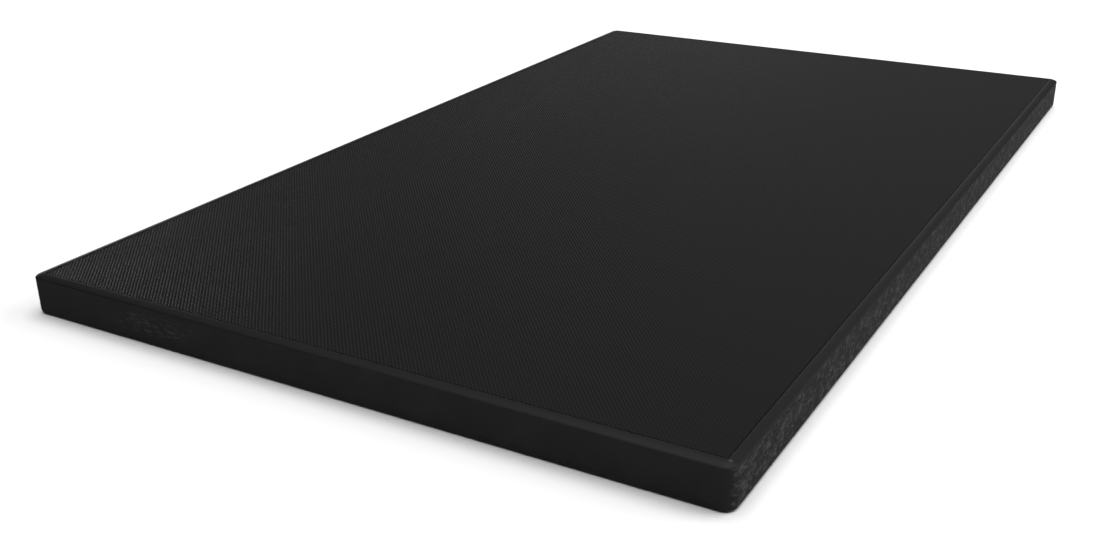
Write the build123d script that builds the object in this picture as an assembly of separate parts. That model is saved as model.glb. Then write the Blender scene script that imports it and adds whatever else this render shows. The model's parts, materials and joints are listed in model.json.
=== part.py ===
"""Self-healing mat for leatherwork: a thick punching and cutting mat, pressed from five bonded plies.

The frame's origin is the centre of the underside, on the surface that the mat lies on.
+X runs along the mat's length, +Y across its width and +Z up through the work face.
Every ply is trimmed to one outline, so the mat's edge is flush all the way down.
"""

import os

from build123d import *

# Outline, the same for every ply
MAT_LENGTH = 500.0
MAT_WIDTH = 300.0
CORNER_RADIUS = 4.75

# Thickness of each ply, from the bench up
BASE_THICKNESS = 3.0
LOWER_CUSHION_THICKNESS = 4.0
CORE_THICKNESS = 2.5
UPPER_CUSHION_THICKNESS = 4.0
FACE_THICKNESS = 3.0

# Shallow bevel that runs round the work face
BEVEL_WIDTH = 4.15
BEVEL_DROP = 1.3
FIELD_CORNER_RADIUS = 0.6

# Small rounding where the edge meets the underside
FOOT_RADIUS = 1.75


def outline(height):
    """The trimmed outline of the mat, lying at that height."""
    return Plane.XY.offset(height) * RectangleRounded(MAT_LENGTH, MAT_WIDTH, CORNER_RADIUS)


def plain_ply(bottom, thickness):
    """A flat ply with square edges."""
    return extrude(outline(bottom), thickness)


def face_sheet(bottom):
    """The self-healing top sheet: a flat work field inside a shallow bevel."""
    top = bottom + FACE_THICKNESS
    arris = top - BEVEL_DROP
    field = Plane.XY.offset(top) * RectangleRounded(
        MAT_LENGTH - 2 * BEVEL_WIDTH, MAT_WIDTH - 2 * BEVEL_WIDTH, FIELD_CORNER_RADIUS
    )
    bevel = loft([outline(arris), field], ruled=True)
    return plain_ply(bottom, FACE_THICKNESS - BEVEL_DROP) + bevel


def base_sheet(bottom):
    """The bottom sheet, with its lower edge rounded."""
    sheet = plain_ply(bottom, BASE_THICKNESS)
    return fillet(sheet.faces().sort_by(Axis.Z)[0].edges(), FOOT_RADIUS)


def build_mat():
    """Every ply at its place in the stack, by node name."""
    lower_cushion_bottom = BASE_THICKNESS
    core_bottom = lower_cushion_bottom + LOWER_CUSHION_THICKNESS
    upper_cushion_bottom = core_bottom + CORE_THICKNESS
    face_bottom = upper_cushion_bottom + UPPER_CUSHION_THICKNESS
    return {
        "base_sheet": base_sheet(0),
        "lower_cushion_ply": plain_ply(lower_cushion_bottom, LOWER_CUSHION_THICKNESS),
        "firm_core": plain_ply(core_bottom, CORE_THICKNESS),
        "upper_cushion_ply": plain_ply(upper_cushion_bottom, UPPER_CUSHION_THICKNESS),
        "face_sheet": face_sheet(face_bottom),
    }


os.makedirs("parts", exist_ok=True)
for node, solid in build_mat().items():
    export_step(solid, f"parts/{node}.step")
    print(f"{node}: {solid.volume:.0f} mm3")
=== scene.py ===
"""A thick self-healing mat for leatherwork, lying on a pale bench under soft studio light.

The plies are made and finished in the order in which they are stacked and pressed, from the
bench up.
"""

import json
import math

import bmesh
import bpy
from mathutils import Euler, Matrix, Vector

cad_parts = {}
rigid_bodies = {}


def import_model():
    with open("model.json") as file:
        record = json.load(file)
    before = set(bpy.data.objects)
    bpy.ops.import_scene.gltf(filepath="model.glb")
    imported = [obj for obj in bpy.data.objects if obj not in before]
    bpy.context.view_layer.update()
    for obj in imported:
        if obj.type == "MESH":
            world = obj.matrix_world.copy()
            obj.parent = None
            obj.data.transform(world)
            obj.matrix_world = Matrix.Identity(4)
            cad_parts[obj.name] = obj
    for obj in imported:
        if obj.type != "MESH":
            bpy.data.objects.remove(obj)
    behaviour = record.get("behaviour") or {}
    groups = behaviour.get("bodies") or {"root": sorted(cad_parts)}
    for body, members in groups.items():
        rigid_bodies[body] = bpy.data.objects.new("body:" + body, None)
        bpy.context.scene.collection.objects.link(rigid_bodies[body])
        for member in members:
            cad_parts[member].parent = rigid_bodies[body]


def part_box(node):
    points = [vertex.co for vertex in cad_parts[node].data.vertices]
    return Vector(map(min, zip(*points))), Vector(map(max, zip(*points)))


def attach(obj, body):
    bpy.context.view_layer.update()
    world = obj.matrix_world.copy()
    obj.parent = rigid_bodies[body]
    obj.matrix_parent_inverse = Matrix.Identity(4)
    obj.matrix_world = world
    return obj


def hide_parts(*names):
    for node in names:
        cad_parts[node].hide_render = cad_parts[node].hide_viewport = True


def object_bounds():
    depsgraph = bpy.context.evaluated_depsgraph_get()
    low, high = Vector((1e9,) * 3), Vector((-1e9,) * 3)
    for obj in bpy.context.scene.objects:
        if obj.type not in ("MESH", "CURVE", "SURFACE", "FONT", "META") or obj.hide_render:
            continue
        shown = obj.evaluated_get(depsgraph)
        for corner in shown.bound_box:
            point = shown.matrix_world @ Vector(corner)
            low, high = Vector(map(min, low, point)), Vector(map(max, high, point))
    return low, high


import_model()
cad_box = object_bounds()

# ---------------------------------------------------------------------------------------------
# Base sheet: the bottom sheet of soft healing compound, which lies on the bench. It is pressed
# smooth and trimmed with the other plies in one cut. Its lower edge is rounded over, so that it
# neither catches on the bench nor curls.

MAT_LENGTH = cad_box[1].x - cad_box[0].x
MAT_WIDTH = cad_box[1].y - cad_box[0].y
CORNER_RADIUS = 0.00475
CORNER_SEGMENTS = 10
FOOT_RADIUS = 0.00175
FOOT_SEGMENTS = 5
TRIM_STEP = 0.0009
STEPS_PER_CUT = 7
TRIM_ROW = 0.0008
SAW_DEPTH = 0.00014
SAW_GRAIN = 0.0011
END_SHARE = 0.4
CORNER_GAIN = 1.2
LEVEL = 1e-6


def pick(piece, kind, test):
    """Selects only those of the piece's "verts", "edges" or "faces" that pass the test."""
    flags = (kind == "verts", kind == "edges", kind == "faces")
    bpy.context.tool_settings.mesh_select_mode = flags
    shape = bmesh.from_edit_mesh(piece.data)
    for part in (*shape.faces, *shape.edges, *shape.verts):
        part.select = False
    for part in getattr(shape, kind):
        if test(part):
            part.select_set(True)
    shape.select_flush_mode()
    bmesh.update_edit_mesh(piece.data)


def trimmed_wall(name, bottom, top):
    """The trimmed edge of a ply between two heights: an open wall of small quads, in edit mode."""
    bpy.ops.object.select_all(action="DESELECT")
    bpy.ops.mesh.primitive_plane_add(size=1, location=(0, 0, bottom))
    piece = bpy.context.object
    piece.name = piece.data.name = name
    piece.scale = (MAT_LENGTH, MAT_WIDTH, 1)
    bpy.ops.object.transform_apply(location=True, rotation=True, scale=True)
    bpy.ops.object.mode_set(mode="EDIT")
    bpy.ops.mesh.select_all(action="SELECT")
    bpy.ops.mesh.bevel(offset=CORNER_RADIUS, segments=CORNER_SEGMENTS, affect="VERTICES")
    bpy.ops.mesh.select_all(action="SELECT")
    bpy.ops.mesh.delete(type="ONLY_FACE")
    for side in (MAT_LENGTH, MAT_WIDTH):
        straight = side - 2 * CORNER_RADIUS
        cuts = round(straight / TRIM_STEP / STEPS_PER_CUT)
        pick(piece, "edges", lambda e: abs(e.calc_length() - straight) < TRIM_STEP)
        bpy.ops.mesh.subdivide(number_cuts=cuts - 1)
        pick(piece, "edges", lambda e: abs(e.calc_length() - straight / cuts) < TRIM_STEP / 2)
        bpy.ops.mesh.subdivide(number_cuts=STEPS_PER_CUT - 1)
    rows = round((top - bottom) / TRIM_ROW)
    bpy.ops.mesh.select_all(action="SELECT")
    for _ in range(rows):
        rise = {"value": (0, 0, (top - bottom) / rows)}
        bpy.ops.mesh.extrude_region_move(TRANSFORM_OT_translate=rise)
    bpy.ops.mesh.select_all(action="SELECT")
    bpy.ops.mesh.normals_make_consistent(inside=False)
    return piece


def close_wall(piece, height):
    """Caps the open wall at that height."""
    pick(piece, "edges", lambda e: e.is_boundary and abs(e.verts[0].co.z - height) < LEVEL)
    bpy.ops.mesh.edge_face_add()
    bpy.ops.mesh.select_all(action="SELECT")
    bpy.ops.mesh.normals_make_consistent(inside=False)


def pick_cap(piece, height):
    """Selects the many-sided face that closes the wall at that height."""

    def is_cap(f):
        return len(f.verts) > 4 and abs(f.calc_center_median().z - height) < LEVEL

    pick(piece, "faces", is_cap)


def step_in(steps):
    """Insets the cap that is selected by each (inset, rise) of the steps in turn."""
    for inset, rise in steps:
        bpy.ops.mesh.inset(thickness=inset, depth=rise, use_even_offset=True)


def saw_relief(piece, top):
    """Pits the trimmed edge below that height, as the saw leaves it.

    The pits are deep on the long sides and faint on the ends. They only ever go inwards.
    """
    bpy.ops.object.mode_set(mode="OBJECT")
    group = piece.vertex_groups.new(name="trimmed")
    for vertex in piece.data.vertices:
        if vertex.co.z < top + LEVEL:
            share = END_SHARE + (1 - END_SHARE) * min(1, abs(vertex.normal.y) * CORNER_GAIN)
            group.add([vertex.index], share, "REPLACE")
    grain = bpy.data.textures.get("saw_grain") or bpy.data.textures.new("saw_grain", "CLOUDS")
    grain.noise_scale = SAW_GRAIN
    grain.noise_depth = 2
    saw = piece.modifiers.new("saw", "DISPLACE")
    saw.texture = grain
    saw.texture_coords = "LOCAL"
    saw.mid_level = 1
    saw.strength = SAW_DEPTH
    saw.vertex_group = group.name
    bpy.ops.object.modifier_apply(modifier=saw.name)
    bpy.ops.object.mode_set(mode="EDIT")


class Wire:
    """A number that a finish works out. Python's operators on it add Math nodes."""

    def __init__(self, finish, socket):
        self.finish, self.socket = finish, socket

    def math(self, operation, *numbers):
        sockets = dict(enumerate((self, *numbers)))
        return self.finish.node("Math", {"operation": operation}, sockets)

    def __add__(self, number):
        return self.math("ADD", number)

    def __sub__(self, number):
        return self.math("SUBTRACT", number)

    def __mul__(self, number):
        return self.math("MULTIPLY", number)

    def __rsub__(self, number):
        return self.finish.node("Math", {"operation": "SUBTRACT"}, {0: number, 1: self})

    def __abs__(self):
        return self.math("ABSOLUTE")

    __radd__ = __add__
    __rmul__ = __mul__


class Finish:
    """A material, and the nodes that vary it over the surface."""

    def __init__(self, name, colour, roughness, specular):
        self.material = bpy.data.materials.new(name)
        self.material.use_nodes = True
        self.tree = self.material.node_tree
        self.shader = self.tree.nodes["Principled BSDF"]
        self.shader.inputs["Base Color"].default_value = (*colour, 1)
        self.shader.inputs["Roughness"].default_value = roughness
        self.shader.inputs["Specular IOR Level"].default_value = specular
        self.place = self.node("TexCoord", output="Object")

    def node(self, kind, settings=None, sockets=None, output=0):
        """Adds a node: its settings first, then the values or links of its sockets."""
        made = self.tree.nodes.new("ShaderNode" + kind)
        for name, value in (settings or {}).items():
            setattr(made, name, value)
        self.fill(made, sockets or {})
        return Wire(self, made.outputs[output])

    def fill(self, node, sockets):
        for name, value in sockets.items():
            if isinstance(value, Wire):
                self.tree.links.new(value.socket, node.inputs[name])
            else:
                node.inputs[name].default_value = value

    def axis(self, letter):
        """How far a point is from the middle of the mat along that axis, in metres."""
        return self.node("SeparateXYZ", None, {"Vector": self.place}, letter)

    def noise(self, size, detail=2, spread=0.5, place=None):
        """A soft random number from 0 to 1, with patches of about that size in metres."""
        sockets = {"Vector": place or self.place, "Scale": 1 / size}
        return self.node("TexNoise", None, {**sockets, "Detail": detail, "Roughness": spread})

    def soft_step(self, value, start, end, first=0, last=1):
        """Goes smoothly from first to last as the value goes from start to end."""
        return self.node("MapRange", {"interpolation_type": "SMOOTHSTEP"}, {
            "Value": value, "From Min": start, "From Max": end, "To Min": first, "To Max": last})

    def mix(self, share, first, second):
        """The first colour where the share is 0, the second where it is 1."""
        colours = {6: (*first, 1), 7: (*second, 1)}
        return self.node("Mix", {"data_type": "RGBA"}, {0: share, **colours}, 2)

    def relief(self, depth, height):
        """A bump that stands that depth in metres where the height is 1."""
        return self.node("Bump", None, {"Strength": 1, "Distance": depth, "Height": height})

    def wear(self, piece):
        piece.data.materials.append(self.material)


EDGE_BLACK = (0.0135, 0.0135, 0.0135)
EDGE_CHALK_AND_GLINT = (0.085, 0.085, 0.085)
EDGE_ROUGHNESS = 0.6
COARSE_GRAIN = 0.0032
FINE_GRAIN = 0.0012
GRAIN_DRAW = 0.55
GRAIN_BUMP = 0.0009
MOTTLE_SIZE = 0.012
GRAIN_START = MAT_WIDTH / 2 - 0.0025
GRAIN_FULL = MAT_WIDTH / 2 - 0.0008

sawn = Finish("sawn_edge", EDGE_BLACK, EDGE_ROUGHNESS, 0.5)
x, y, z = [sawn.axis(letter) for letter in "XYZ"]
long_side = sawn.soft_step(abs(y), GRAIN_START, GRAIN_FULL)
drawn_out = sawn.node("Mapping", None, {"Vector": sawn.place, "Scale": (GRAIN_DRAW, 1, 1)})
coarse = sawn.noise(COARSE_GRAIN, 3, 0.6, drawn_out)
fine = sawn.noise(FINE_GRAIN, 2, 0.6, drawn_out)
# Painted light: the specks make the long sides paler than the ends. They are partly the sawn
# grain, partly painted glints and painted light from the softboxes on the right.
grain_specks_and_glints = sawn.soft_step(fine * 0.5 + coarse * 0.5, 0.47, 0.63) * long_side
mottle = sawn.noise(MOTTLE_SIZE)

# Where the near end has been handled, short pale scuffs cross each other at a slant.
SCUFF_MIDDLE = Vector((-0.25, 0.084, 0.0088))
SCUFF_REACH = Vector((0.002, 0.021, 0.0042))
SCUFF_SLANTS = (-55, 40)
SCUFF_STRETCH = (1, 0.3, 1.3)
SCUFF_SCALE = 900

scuffs = 0
for slant in SCUFF_SLANTS:
    turned = sawn.node("Mapping", None, {
        "Vector": sawn.place, "Rotation": (math.radians(slant), 0, 0), "Scale": SCUFF_STRETCH})
    streak = sawn.node("TexNoise", None, {"Vector": turned, "Scale": SCUFF_SCALE, "Detail": 1})
    scuffs = scuffs + sawn.soft_step(streak, 0.56, 0.66)
patch = 1
for axis, middle, reach in zip((x, y, z), SCUFF_MIDDLE, SCUFF_REACH):
    patch = patch * sawn.soft_step(abs(axis - middle), reach * 0.5, reach * 1.3, 1, 0)
scuffed = (scuffs * patch).math("MINIMUM", 1)

# The pale colour is real scuffs and random mottle. Through the specks, and a slight overall lift,
# it is also painted light on the long sides.
paler_marks_and_painted_light = 0.68 * grain_specks_and_glints + 0.3 * scuffed + 0.12 * mottle + 0.02 * long_side
sawn_height = (coarse * 0.6 + fine * 0.4) * (0.05 + 0.95 * long_side)
sawn.fill(sawn.shader, {
    "Base Color": sawn.mix(paler_marks_and_painted_light.math("MINIMUM", 1), EDGE_BLACK, EDGE_CHALK_AND_GLINT),
    "Roughness": EDGE_ROUGHNESS - 0.18 * grain_specks_and_glints - 0.1 * mottle,
    "Normal": sawn.relief(GRAIN_BUMP, sawn_height),
})


def finish_piece(piece, node):
    """Leaves edit mode and puts the piece on the mat in place of its node."""
    bpy.ops.object.mode_set(mode="OBJECT")
    bpy.ops.object.shade_smooth_by_angle(angle=math.radians(30))
    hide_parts(node)
    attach(piece, "root")


low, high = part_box("base_sheet")
base = trimmed_wall("base_sheet_pressed", low.z + FOOT_RADIUS, high.z)
close_wall(base, low.z + FOOT_RADIUS)
pick_cap(base, low.z + FOOT_RADIUS)
turns = [math.pi / 2 * i / FOOT_SEGMENTS for i in range(FOOT_SEGMENTS + 1)]
step_in([
    (FOOT_RADIUS * (math.cos(a) - math.cos(b)), FOOT_RADIUS * (math.sin(b) - math.sin(a)))
    for a, b in zip(turns, turns[1:])
])
saw_relief(base, high.z)
close_wall(base, high.z)
sawn.wear(base)
finish_piece(base, "base_sheet")

# ---------------------------------------------------------------------------------------------
# The three inner plies, of which only the trimmed edge shows: a resilient cushion ply, a thin
# harder core that keeps the mat flat, and a second cushion ply. They are heat bonded, so no
# joint line shows.

for node, slot in (
    ("lower_cushion_ply", "cushion_compound"),
    ("firm_core", "core_compound"),
    ("upper_cushion_ply", "cushion_compound"),
):
    low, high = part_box(node)
    ply = trimmed_wall(node + "_trimmed", low.z, high.z)
    saw_relief(ply, high.z)
    close_wall(ply, low.z)
    close_wall(ply, high.z)
    sawn.wear(ply)
    finish_piece(ply, node)

# ---------------------------------------------------------------------------------------------
# Face sheet: the self-healing work surface. It is pressed against a plain-woven cloth, which
# leaves its threads' print all over the field, and the rim is then planed to a shallow bevel.
# The plane's edge leaves a fine ragged score between the two, and a burr at the near corner.

THREADS_ALONG = 540
THREADS_ACROSS = 626
PRINT_DEPTH = 0.00018
FAINTEST_PRINT = 0.15
FIELD_BLACK = (0.0034, 0.0034, 0.0034)
FIELD_ROUGHNESS = 0.74

pressed = Finish("cloth_pressed_face", FIELD_BLACK, FIELD_ROUGHNESS, 0.12)
x, y = pressed.axis("X"), pressed.axis("Y")
along = (x * (math.pi * THREADS_ALONG / MAT_LENGTH)).math("COSINE")
across = (y * (math.pi * THREADS_ACROSS / MAT_LENGTH)).math("COSINE")
over = along * across
warp = 0.3 * abs(along) + 0.7 * over.math("MAXIMUM", 0)
weft = 0.3 * abs(across) + 0.25 * (0 - over).math("MAXIMUM", 0)
cloth = warp.math("MAXIMUM", weft)
float_top = pressed.soft_step(over, 0, 0.8)

# The cloth bites deepest along the back left and fades towards the front right.
bite = pressed.node("MapRange", None, {
    "Value": y - 0.15 * x, "From Min": -MAT_WIDTH * 0.4, "From Max": MAT_WIDTH * 0.35,
    "To Min": FAINTEST_PRINT, "To Max": 1})
pressed.fill(pressed.shader, {
    "Roughness": FIELD_ROUGHNESS + bite * (0.2 - 0.68 * float_top),
    "Normal": pressed.relief(PRINT_DEPTH, cloth * bite),
})

BEVEL_WIDTH = 0.00415
BEVEL_DROP = 0.0013
BEVEL_SEGMENTS = 8
BEVEL_BOW = 0.5
RIM_BLACK = (0.005, 0.005, 0.005)
BURR_GLINT_GREY = (0.04, 0.04, 0.04)
PLANE_CHATTER = 0.0015
PLANE_BUMP = 0.00004

low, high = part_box("face_sheet")
arris = high.z - BEVEL_DROP

BURR = Vector((-0.2463, -0.1469, high.z))
BURR_REACH = 0.00045
BURR_SPREAD = 0.0006
BURR_HEIGHT = 0.00014
BURR_GLINT_FROM = 0.0002
BURR_GLINT_TO = 0.0009

planed = Finish("planed_rim", RIM_BLACK, 0.48, 0.12)
# Round the burr the rim is painted pale grey: a painted highlight where the burr catches the
# light.
from_burr = planed.node(
    "VectorMath", {"operation": "DISTANCE"}, {0: planed.place, 1: BURR}, "Value")
burr_glint = planed.soft_step(from_burr, BURR_GLINT_FROM, BURR_GLINT_TO, 1, 0)
planed.fill(planed.shader, {
    "Base Color": planed.mix(burr_glint, RIM_BLACK, BURR_GLINT_GREY),
    "Normal": planed.relief(PLANE_BUMP, planed.noise(PLANE_CHATTER, 3)),
})

SCORE_STEPS = [(0.00008, -0.00014), (0.00016, 0), (0.0001, 0.00014)]
SCORE_WANDER = 0.0003
SCORE_NICKS = 0.0003
WANDER_SIZE = 0.0022

# The score has a darker, duller finish than the rim and the field: painted shade in the groove.
score_shade = Finish("score", (0.003, 0.003, 0.003), 0.9, 0.05)


def give(piece, finish):
    """Gives the selected faces that finish. What is then cut from them takes it too."""
    if finish.material.name not in piece.data.materials:
        finish.wear(piece)
    piece.active_material_index = piece.data.materials.find(finish.material.name)
    bpy.ops.object.material_slot_assign()


face = trimmed_wall("face_sheet_pressed", low.z, arris)
give(face, sawn)
close_wall(face, arris)
rim = [
    (
        BEVEL_WIDTH * ((1 - BEVEL_BOW) * t + BEVEL_BOW * (1 - math.cos(t * math.pi / 2))),
        BEVEL_DROP * ((1 - BEVEL_BOW) * t + BEVEL_BOW * math.sin(t * math.pi / 2)),
    )
    for t in (i / BEVEL_SEGMENTS for i in range(BEVEL_SEGMENTS + 1))
]
rim_steps = [(b[0] - a[0], b[1] - a[1]) for a, b in zip(rim, rim[1:])]
pick_cap(face, arris)
give(face, planed)
step_in(rim_steps)
give(face, score_shade)
step_in(SCORE_STEPS)
give(face, pressed)
for _ in SCORE_STEPS:
    bpy.ops.mesh.select_more()
bpy.ops.object.vertex_group_add()
face.vertex_groups.active.name = "score"
bpy.ops.object.vertex_group_assign()
saw_relief(face, arris)

bpy.ops.object.mode_set(mode="OBJECT")
wander = bpy.data.textures.new("score_wander", "CLOUDS")
wander.noise_scale = WANDER_SIZE
wander.noise_depth = 1
for direction, strength, middle_level in (
    ("X", SCORE_WANDER, 0.5),
    ("Y", SCORE_WANDER, 0.5),
    ("Z", SCORE_NICKS, 1),
):
    ragged = face.modifiers.new("ragged", "DISPLACE")
    ragged.texture = wander
    ragged.texture_coords = "LOCAL"
    ragged.direction = direction
    ragged.strength = strength
    ragged.mid_level = middle_level
    ragged.vertex_group = "score"
    bpy.ops.object.modifier_apply(modifier=ragged.name)

# The underside is closed last, in the finish of the trimmed edge.
bpy.ops.object.mode_set(mode="EDIT")
face.active_material_index = face.data.materials.find(sawn.material.name)
close_wall(face, low.z)

# The burr is drawn up out of the rim.
pick(face, "verts", lambda v: (v.co - BURR).length < BURR_REACH)
bpy.ops.transform.translate(
    value=(0, 0, BURR_HEIGHT),
    use_proportional_edit=True,
    proportional_edit_falloff="SMOOTH",
    proportional_size=BURR_SPREAD,
)

finish_piece(face, "face_sheet")

# ---------------------------------------------------------------------------------------------
# The bench top, the lights and the camera. The bench is plain pale paint, wide enough for every
# view, and is kept out of reflections so that the mat's edges stay dark. The lights are one soft
# ceiling, two softboxes off the right side and six beyond the far end.

BENCH_SIZE = 30
BENCH_GREY = (0.85, 0.85, 0.85)

bpy.ops.object.select_all(action="DESELECT")
bpy.ops.mesh.primitive_plane_add(size=BENCH_SIZE, location=(0, 0, cad_box[0].z))
bench = bpy.context.object
bench.name = "bench"
paint = Finish("bench_paint", BENCH_GREY, 0.8, 0.1)
paint.wear(bench)
bench.visible_glossy = False

middle = (cad_box[0] + cad_box[1]) / 2


def softbox(name, heading, height_angle, distance, size, power):
    """A soft oblong light that faces the mat from that heading and height, both in degrees."""
    a, e = math.radians(heading), math.radians(height_angle)
    away = Vector((math.cos(a) * math.cos(e), math.sin(a) * math.cos(e), math.sin(e)))
    light = bpy.data.lights.new(name, "AREA")
    light.shape = "RECTANGLE"
    light.size, light.size_y = size
    light.energy = power
    lamp = bpy.data.objects.new(name, light)
    lamp.location = middle + away * distance
    lamp.rotation_euler = away.to_track_quat("Z", "Y").to_euler()
    bpy.context.scene.collection.objects.link(lamp)


# A sun with a wide disc is as soft as a large lamp, and lights the whole bench evenly.
ceiling = bpy.data.lights.new("ceiling", "SUN")
ceiling.energy = 3
ceiling.angle = math.radians(54)
ceiling_lamp = bpy.data.objects.new("ceiling", ceiling)
ceiling_lamp.rotation_euler = (0, math.radians(5), 0)
bpy.context.scene.collection.objects.link(ceiling_lamp)

softbox("right_softbox", 306, 20, 2, (1.5, 0.8), 11)
softbox("right_high_softbox", 306, 45, 2, (1.5, 1), 12)
softbox("beyond_left_low", 66, 5, 1.8, (0.7, 0.3), 2)
softbox("beyond_middle_low", 48, 8, 1.8, (0.8, 0.4), 0.45)
softbox("beyond_right_low", 25, 8, 1.8, (0.7, 0.4), 0.7)
softbox("beyond_right", 12, 18, 1.8, (0.8, 0.8), 1.5)
softbox("beyond_high", 50, 55, 1.8, (1.2, 1.2), 1.9)
softbox("beyond_right_high", 5, 45, 1.8, (1, 1), 0.4)

# The room is dark to the mat, but pale where the camera looks past the bench.
ROOM_GREY = (0.06, 0.06, 0.06, 1)
BACKDROP_GREY = (0.88, 0.88, 0.88, 1)

world = bpy.data.worlds.new("studio")
bpy.context.scene.world = world
world.use_nodes = True
nodes, links = world.node_tree.nodes, world.node_tree.links
nodes["Background"].inputs["Color"].default_value = ROOM_GREY
backdrop = nodes.new("ShaderNodeBackground")
backdrop.inputs["Color"].default_value = BACKDROP_GREY
ray = nodes.new("ShaderNodeLightPath")
mix = nodes.new("ShaderNodeMixShader")
links.new(ray.outputs["Is Camera Ray"], mix.inputs[0])
links.new(nodes["Background"].outputs[0], mix.inputs[1])
links.new(backdrop.outputs[0], mix.inputs[2])
links.new(mix.outputs[0], nodes["World Output"].inputs[0])

CAMERA_PLACE = (-0.5485, -0.26485, 0.21347)
CAMERA_DIP = math.radians(23.167)
CAMERA_HEADING = math.radians(-60.06)
CAMERA_ROLL = math.radians(-0.654)

camera = bpy.data.objects.new("camera", bpy.data.cameras.new("camera"))
camera.location = CAMERA_PLACE
aim = Euler((math.pi / 2 - CAMERA_DIP, 0, CAMERA_HEADING)).to_matrix()
camera.rotation_euler = (aim @ Matrix.Rotation(CAMERA_ROLL, 3, "Z")).to_euler()
camera.data.lens = 41.85
camera.data.shift_x = -0.0107
bpy.context.scene.collection.objects.link(camera)
bpy.context.scene.camera = camera
bpy.context.scene.view_settings.view_transform = "Standard"
